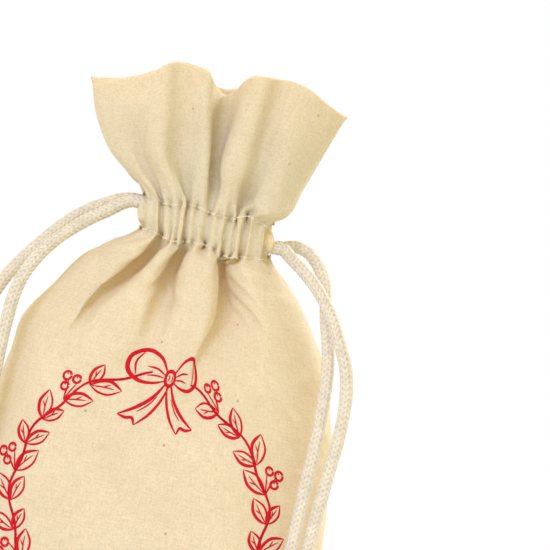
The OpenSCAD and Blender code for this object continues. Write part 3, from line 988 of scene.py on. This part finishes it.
def berry_strokes(angle, radius, size):
    """A round berry and the short line of its shine."""
    centre = ring_point(angle, radius)
    ring = [(size * math.cos(t), size * math.sin(t)) for t in np.linspace(0.3, 6.4, 12)]
    shine = [(size * 0.45 * math.cos(t), size * 0.45 * math.sin(t)) for t in (1.2, 1.7, 2.2)]
    return [stroke(turned(ring, 0, centre), 1.0, 0.9, 0.9), stroke(turned(shine, 0, centre), 0.6)]


def sprig_strokes(angle, rising):
    """Three berries on short stalks on the outer side of the ring, leaning towards the bow."""
    drawn = []
    for turn, away, size in ((3.4, 4.0, 1.35), (6.2, 6.8, 1.5), (9.0, 3.9, 1.35)):
        turn *= rising
        stalk = [ring_point(angle, WREATH_RADIUS), ring_point(angle + turn * 0.6, WREATH_RADIUS + away * 0.4),
                 ring_point(angle + turn, WREATH_RADIUS + away - size * 0.9)]
        drawn.append(stroke(stalk, 0.6))
        drawn += berry_strokes(angle + turn, WREATH_RADIUS + away, size)
    return drawn


def bow_strokes():
    """Ribbon bow that sits on top of the ring, mirrored about its knot."""
    top = (0, WREATH_RADIUS - 1)
    half = [
        ([(1.6, 1.8), (6, 6.6), (12.5, 8.2), (17, 5), (16.6, 0.6), (12, -2.6), (6, -2.4), (1.8, -0.8)], 1.7),
        ([(2.6, 1), (6.4, 2.6), (10.4, 2.8)], 0.8),
        ([(2.8, 0), (6.6, 0.2), (9.6, -0.3)], 0.7),
        ([(12.8, 7.4), (14.6, 4), (13.4, -1)], 0.8),
        ([(1.2, -1.6), (4.4, -7), (9.6, -12), (14.8, -15.4)], 1.5),
        ([(-0.6, -2), (1.4, -8.2), (4.2, -13.4), (8.2, -18)], 1.2),
        ([(8.2, -18), (9.6, -15.6), (11.4, -16), (14.8, -15.4)], 1.2),
        ([(3, -6.6), (5.8, -10.6), (8.8, -13.4)], 0.6),
    ]
    drawn = []
    for mirror in (1, -1):
        for line, width in half:
            drawn.append(stroke(np.array(line) * (mirror, 1) + top, width))
    knot = [(-2.2, 0.2), (-1.6, 2.2), (0.4, 2.7), (2.1, 1.6), (2.2, -0.8), (0.8, -2.2), (-1.4, -1.8),
            (-2.2, 0.2)]
    drawn.append(stroke(np.array(knot) + top, 1.5, 0.9, 0.9))
    drawn.append(stroke(np.array([(-0.8, 1.5), (-0.3, 0.2), (-0.9, -1)]) + top, 0.6))
    drawn.append(stroke(np.array([(0.9, 1.4), (1.2, 0.2), (0.7, -1)]) + top, 0.6))
    return drawn


def wreath_strokes():
    """A plain garland: two winding stems, leaves in pairs, berries and a bow."""
    drawn = []
    for offset, width, phase in ((1.1, 1.1, 0), (-1.1, 0.8, 180)):
        for start in range(100, 430, 30):
            wave = []
            for angle in np.linspace(start, start + 33, 9):
                wander = offset * math.sin(math.radians(angle * 12 + phase))
                wave.append(ring_point(angle, WREATH_RADIUS + wander))
            drawn.append(stroke(wave, width, 0.6, 0.5))
    for k in range(LEAF_PAIRS):
        angle = 90 + BOW_SPACE + k * (360 - 2 * BOW_SPACE) / (LEAF_PAIRS - 1)
        rising = -1 if 90 < angle % 360 < 270 else 1
        wobble = 6 * math.sin(k * 2.3)
        for side in (-1, 1):
            # Every third pair has a sprig of berries for one of its leaves
            if side < 0 and k % 3 == 1:
                drawn += sprig_strokes(angle, rising)
                continue
            lean = side * rising * (36 + wobble) + (0 if rising > 0 else 180)
            size = 9.6 + 1.4 * math.sin(k * 1.7 + side)
            drawn += leaf_strokes(angle, WREATH_RADIUS, lean, size)
    return drawn + bow_strokes()


def add_print(cloth_map, material):
    """Every stroke as a thin layer of ink that follows the cloth and its folds."""
    points, faces, count = [], [], 0
    for number, (line, half) in enumerate(wreath_strokes()):
        # Crossing strokes lie at slightly different heights, so that no two faces share a plane
        above = INK_ABOVE + 0.004 * (number % 11)
        ahead = np.gradient(line, axis=0)
        ahead /= np.linalg.norm(ahead, axis=1)[:, None] + 1e-9
        left = np.stack([-ahead[:, 1], ahead[:, 0]], 1)
        profile = [(-1, -0.1), (-0.8, above), (0, above), (0.8, above), (1, -0.1)]
        ring = [cloth_map.place(line + left * (half * share)[:, None], lift) for share, lift in profile]
        stack = np.stack(ring, 1)
        size = len(profile)
        points.append(stack.reshape(-1, 3))
        for r in range(len(line) - 1):
            for k in range(size):
                a, b = count + r * size + k, count + r * size + (k + 1) % size
                faces.append((a, a + size, b + size, b))
        faces.append(tuple(count + k for k in range(size)))
        last = count + (len(line) - 1) * size
        faces.append(tuple(last + k for k in range(size - 1, -1, -1)))
        count += len(line) * size
    obj = mesh_object("wreath_ink", np.concatenate(points) * MM, faces)
    attach(obj, material, "pouch", "wreath_print")


# ----------- cords, knots and frayed ends

def casing_loop(side, height, sag):
    """Both legs of a cord in the casing and the bend between them, sinking by sag towards the bend."""
    leg = [(-side * x, y, height - sag * min(1.0, (x + 24) / 10)) for x, y in LEG_ROUTE]
    leg[0] = (side * 24.9, *leg[0][1:])
    return leg + [(x, -y, z) for x, y, z in leg[-2::-1]]


def knot_route(at, size=1.55):
    """Overhand knot: a trefoil wound round the cord's own direction."""
    turn = np.linspace(0, 2 * math.pi, 150)
    x = (2 + np.cos(3 * turn)) * np.cos(2 * turn) * size
    y = np.sin(3 * turn) * size * 1.6
    z = (2 + np.cos(3 * turn)) * np.sin(2 * turn) * size * 1.15
    return np.stack([at[0] + x, at[1] + y, at[2] + z], 1)


FRAY_STRANDS = 26
FRAY_R = 0.22


def frayed_strands(at, end):
    """Routes of the strands that one of a knot's two tips frays into, spread like a sunflower's seeds."""
    routes = []
    for k in range(FRAY_STRANDS):
        angle = k * 2.4
        out = 0.4 + 1.5 * math.sqrt((k + 0.5) / FRAY_STRANDS)
        x, y = at[0] + end * 3.1 + out * math.cos(angle), at[1] + out * math.sin(angle)
        angle += 0.2
        out *= 1.25 + 0.25 * math.sin(k * 5.1)
        tip_x, tip_y = at[0] + end * 3.4 + out * math.cos(angle), at[1] + out * math.sin(angle)
        low = 3.4 + 1.6 * abs(math.sin(k * 3.7))
        knots = [(x, y, 11), ((x + tip_x) / 2 + 0.15, (y + tip_y) / 2, 7.6), (tip_x, tip_y, low)]
        routes.append(spline([0, 0.5, 1], knots, np.linspace(0, 1, 7)))
    return routes


def braided_ends(name, at, body, node, material, fluff):
    """The two tips below a knot: a short piece of braid each, and the strands it frays into."""
    x, y, z = at
    for end, letter in ((-1, "a"), (1, "b")):
        top = x + end * 2.3
        route = smooth_route([(top, y, z - 3), (top + end * 0.3, y - 0.2, z - 8), (top + end * 0.9, y, 10)])
        tip = braided_tube(f"{name}_{letter}", route, CORD_D - 0.4)
        attach(tip, material, body, node if end < 0 else None)
        yield tip
    strands = frayed_strands(at, -1) + frayed_strands(at, 1)
    tuft = many_tubes(f"{name}_fray", strands, FRAY_R, sides=5)
    attach(tuft, fluff, body)
    yield tuft


def add_cord(side_name, side, height, sag, routes, knot_at, material, fluff):
    """One whole cord: its loop in the casing, its knot with the frayed tips, and both hanging strands."""
    body, tails = f"{side_name}_cord", f"{side_name}_tails"
    inside = braided_tube(f"{side_name}_cord_in_casing", smooth_route(casing_loop(side, height, sag)))
    attach(inside, material, body, f"{side_name}_drawcord")
    knot = braided_tube(f"{side_name}_overhand_knot", knot_route(knot_at), close_ends=False)
    attach(knot, material, tails, f"{side_name}_knot")
    ends = braided_ends(f"{side_name}_cord_end", knot_at, tails, f"{side_name}_cord_ends", material, fluff)
    knotted = [knot, *ends]
    for where, route in zip(("front", "back"), routes):
        line = smooth_route(route)
        tail = braided_tube(f"{side_name}_tail_{where}_braid", line)
        tail.data.materials.append(material)
        start = np.array(route[0]) * MM
        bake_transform(tail)
        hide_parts(f"{side_name}_tail_{where}")
        line_length(line) * MM


# ----------- materials

class Nodes:
    """Short way to write a material's node tree."""

    def __init__(self, name):
        self.material = bpy.data.materials.new(name)
        self.material.use_nodes = True
        self.tree = self.material.node_tree
        self.shader = self.tree.nodes["Principled BSDF"]
        self.output = self.tree.nodes["Material Output"]

    def add(self, kind, settings=None, **inputs):
        """A node with its settings and inputs. An input's name has _ for a space, or is i and its number."""
        node = self.tree.nodes.new("ShaderNode" + kind)
        for key, value in (settings or {}).items():
            setattr(node, key, value)
        for key, value in inputs.items():
            self.put(node, key.replace("_", " "), value)
        return node

    def put(self, node, key, value):
        """Gives an input its value, or links a socket to it."""
        socket = node.inputs[int(key[1:])] if key[0] == "i" and key[1:].isdigit() else node.inputs[key]
        if isinstance(value, bpy.types.NodeSocket):
            self.tree.links.new(value, socket)
        else:
            socket.default_value = value

    def math(self, operation, a, b=0.0):
        return self.add("Math", {"operation": operation}, i0=a, i1=b).outputs[0]

    def plus(self, a, b):
        return self.math("ADD", a, b)

    def times(self, a, b):
        return self.math("MULTIPLY", a, b)

    def ramp(self, value, stops):
        """A colour that depends on a value. Each stop is a position and a colour."""
        node = self.add("ValToRGB", Fac=value)
        elements = node.color_ramp.elements
        while len(elements) < len(stops):
            elements.new(0.5)
        for element, (place, colour) in zip(elements, stops):
            element.position = place
            element.color = (*colour, 1) if len(colour) == 3 else colour
        return node.outputs["Color"]

    def noise(self, vector, scale, detail=3.0, rough=0.5):
        return self.add("TexNoise", Vector=vector, Scale=scale, Detail=detail, Roughness=rough).outputs["Fac"]

    def stretched(self, vector, scale):
        return self.add("Mapping", Vector=vector, Scale=scale).outputs["Vector"]

    def mix(self, factor, a, b, mode="MIX"):
        node = self.add("Mix", {"data_type": "RGBA", "blend_type": mode})
        self.put(node, "i0", factor)
        self.put(node, "i6", a)
        self.put(node, "i7", b)
        return node.outputs[2]

    def shaded(self, colour, field, low, high):
        """The colour times a ramp over a field. low and high are its two stops: position, factor."""
        return self.mix(1.0, colour, self.ramp(field, [low, high]), "MULTIPLY")

    def finish(self, colour, roughness, height, strength, depth, **shine):
        """Wires the shader up with a bump, depth in metres. Returns the bumped normal."""
        normal = self.add("Bump", Strength=strength, Distance=depth, Height=height).outputs["Normal"]
        shine.update(Base_Color=colour, Roughness=roughness, Normal=normal)
        for key, value in shine.items():
            self.put(self.shader, key.replace("_", " "), value)
        return normal


def grey(value):
    """A neutral colour."""
    return (value, value, value)


def specks(m, flat, scale, channel, rarity, size, soft):
    """Small dots in some of the cloth's cells: 1 in a dot, 0 beyond soft. rarity is the share without one."""
    cell = m.add("TexVoronoi", {"feature": "F1", "distance": "EUCLIDEAN"}, Vector=flat, Scale=scale)
    number = m.add("SeparateColor", Color=cell.outputs["Color"]).outputs[channel]
    dot = m.ramp(cell.outputs["Distance"], [(size, grey(1)), (soft, grey(0))])
    return m.times(m.add("SeparateColor", Color=dot).outputs[0], m.math("GREATER_THAN", number, rarity))


def calico_material():
    """Unbleached plain-weave cotton: fine threads, slubs, seed specks and a warm glow through it."""
    m = Nodes("unbleached_calico")
    flat = m.add("UVMap", {"uv_map": "cloth"}).outputs["UV"]
    place = m.add("TexCoord").outputs["Object"]
    parts = m.add("SeparateXYZ", Vector=flat)
    threads_per_metre = 1900
    warp = m.math("SINE", m.times(parts.outputs["X"], threads_per_metre * math.pi))
    weft = m.math("SINE", m.times(parts.outputs["Y"], threads_per_metre * math.pi))
    weave = m.times(m.times(warp, weft), 0.5)
    slub_up = m.noise(m.stretched(flat, (2300, 190, 1)), 1.0, 2)
    slub_across = m.noise(m.stretched(flat, (150, 2100, 1)), 1.0, 2)
    thick = m.plus(m.times(slub_up, 0.5), m.times(slub_across, 0.5))
    grain = m.noise(place, 1500, 2)
    surface = m.plus(m.plus(m.times(weave, 0.35), m.times(thick, 1.3)), m.times(grain, 0.7))
    patches = m.noise(place, 38, 4, 0.6)
    colour = m.ramp(patches, [(0.32, (0.85, 0.848, 0.66)), (0.68, (0.905, 0.912, 0.735))])
    colour = m.shaded(colour, thick, (0.34, (0.90, 0.88, 0.85)), (0.62, grey(1.05)))
    colour = m.shaded(colour, grain, (0.3, (0.89, 0.87, 0.83)), (0.6, grey(1.04)))
    seeds = specks(m, flat, 165.0, 0, 0.78, 0.045, 0.09)
    colour = m.mix(m.times(seeds, 0.8), colour, (0.20, 0.12, 0.06, 1))
    flecks = specks(m, flat, 420.0, 1, 0.9, 0.03, 0.09)
    colour = m.mix(m.times(flecks, 0.4), colour, (0.46, 0.30, 0.15, 1))
    rough = m.plus(m.times(thick, 0.14), 0.80)
    normal = m.finish(colour, rough, surface, 0.55, 0.00016,
                      Sheen_Weight=0.25, Sheen_Roughness=0.5, Specular_IOR_Level=0.25)
    glow = m.add("BsdfTranslucent", Color=(1, 0.78, 0.32, 1), Normal=normal)
    both = m.add("MixShader", Fac=0.42, i1=m.shader.outputs[0], i2=glow.outputs[0])
    m.tree.links.new(both.outputs[0], m.output.inputs["Surface"])
    return m.material


def cord_material(name="braided_cotton", light=(0.79, 0.715, 0.56), shade_between_strands=(0.56, 0.47, 0.325)):
    """Soft-spun cotton braid with short fibres, darker between the strands by painted shade."""
    m = Nodes(name)
    place = m.add("TexCoord").outputs["Object"]
    relief = m.add("Attribute", {"attribute_name": "relief"}).outputs["Fac"]
    fibre = m.noise(place, 2600, 3, 0.7)
    yarn = m.noise(place, 420, 2)
    # Painted shade: the braid is darker where its relief is low, between the strands, and keeps its own
    # colour on their tops
    colour = m.ramp(relief, [(0.08, shade_between_strands), (0.5, light)])
    colour = m.shaded(colour, fibre, (0.3, grey(0.86)), (0.65, grey(1.05)))
    colour = m.shaded(colour, yarn, (0.3, grey(0.88)), (0.7, grey(1.05)))
    rough = m.plus(m.times(fibre, 0.15), 0.8)
    m.finish(colour, rough, fibre, 0.6, 0.00015, Sheen_Weight=0.35, Specular_IOR_Level=0.2)
    return m.material


def thread_material():
    """Cotton sewing thread with its twist, darker in the twist's grooves by painted shade."""
    m = Nodes("cream_thread")
    place = m.add("TexCoord").outputs["Object"]
    wave = m.add("TexWave", {"bands_direction": "DIAGONAL"}, Vector=place, Scale=900.0, Distortion=2.0)
    twist = wave.outputs["Fac"]
    # Painted shade: darker where the twist's bump is low, in its grooves
    colour = m.ramp(twist, [(0.1, (0.74, 0.62, 0.42)), (0.8, (0.90, 0.81, 0.63))])
    m.finish(colour, m.plus(m.times(twist, 0.1), 0.62), twist, 0.5, 0.00008)
    return m.material


def ink_material():
    """Screen-printed red, a little broken by the weave below it."""
    m = Nodes("red_screen_ink")
    place = m.add("TexCoord").outputs["Object"]
    grain = m.noise(place, 1900, 3, 0.65)
    wash = m.noise(place, 120, 2)
    reds = [(0.28, (0.50, 0.002, 0.008)), (0.56, (0.60, 0.002, 0.010)), (0.78, (0.66, 0.012, 0.022))]
    colour = m.shaded(m.ramp(grain, reds), wash, (0.3, grey(0.94)), (0.7, grey(1.04)))
    m.finish(colour, m.plus(m.times(grain, 0.2), 0.6), grain, 0.5, 0.0001, Specular_IOR_Level=0.2)
    return m.material


# ----------- build

add_camera()
add_studio()
braid = cord_material()
fluff = cord_material("frayed_cotton", (0.86, 0.76, 0.56), (0.80, 0.68, 0.46))
left_routes, right_routes = (LEFT_FRONT_ROUTE, LEFT_BACK_ROUTE), (RIGHT_FRONT_ROUTE, RIGHT_BACK_ROUTE)
add_cord("left", -1, LEFT_CORD_Z, 2.4, left_routes, LEFT_KNOT_AT, braid, fluff)
add_cord("right", 1, RIGHT_CORD_Z, 1, right_routes, RIGHT_KNOT_AT, braid, fluff)

shape, low, high = gathered_cloth()
fine = refine(shape)
low, high = 2 * low, 2 * high
calico = calico_material()
panels = {}
for side, name in ((-1, "front_calico"), (1, "back_calico")):
    cloth, grid, length = cloth_panel(name, fine, side, low, high, calico)
    panels[side] = grid
thread = thread_material()
sew_casing(panels, low, high, thread)
sew_seams(fine, low, high, thread)
sew_openings(fine, low, high, thread)
add_print(ClothMap(panels[-1]), ink_material())
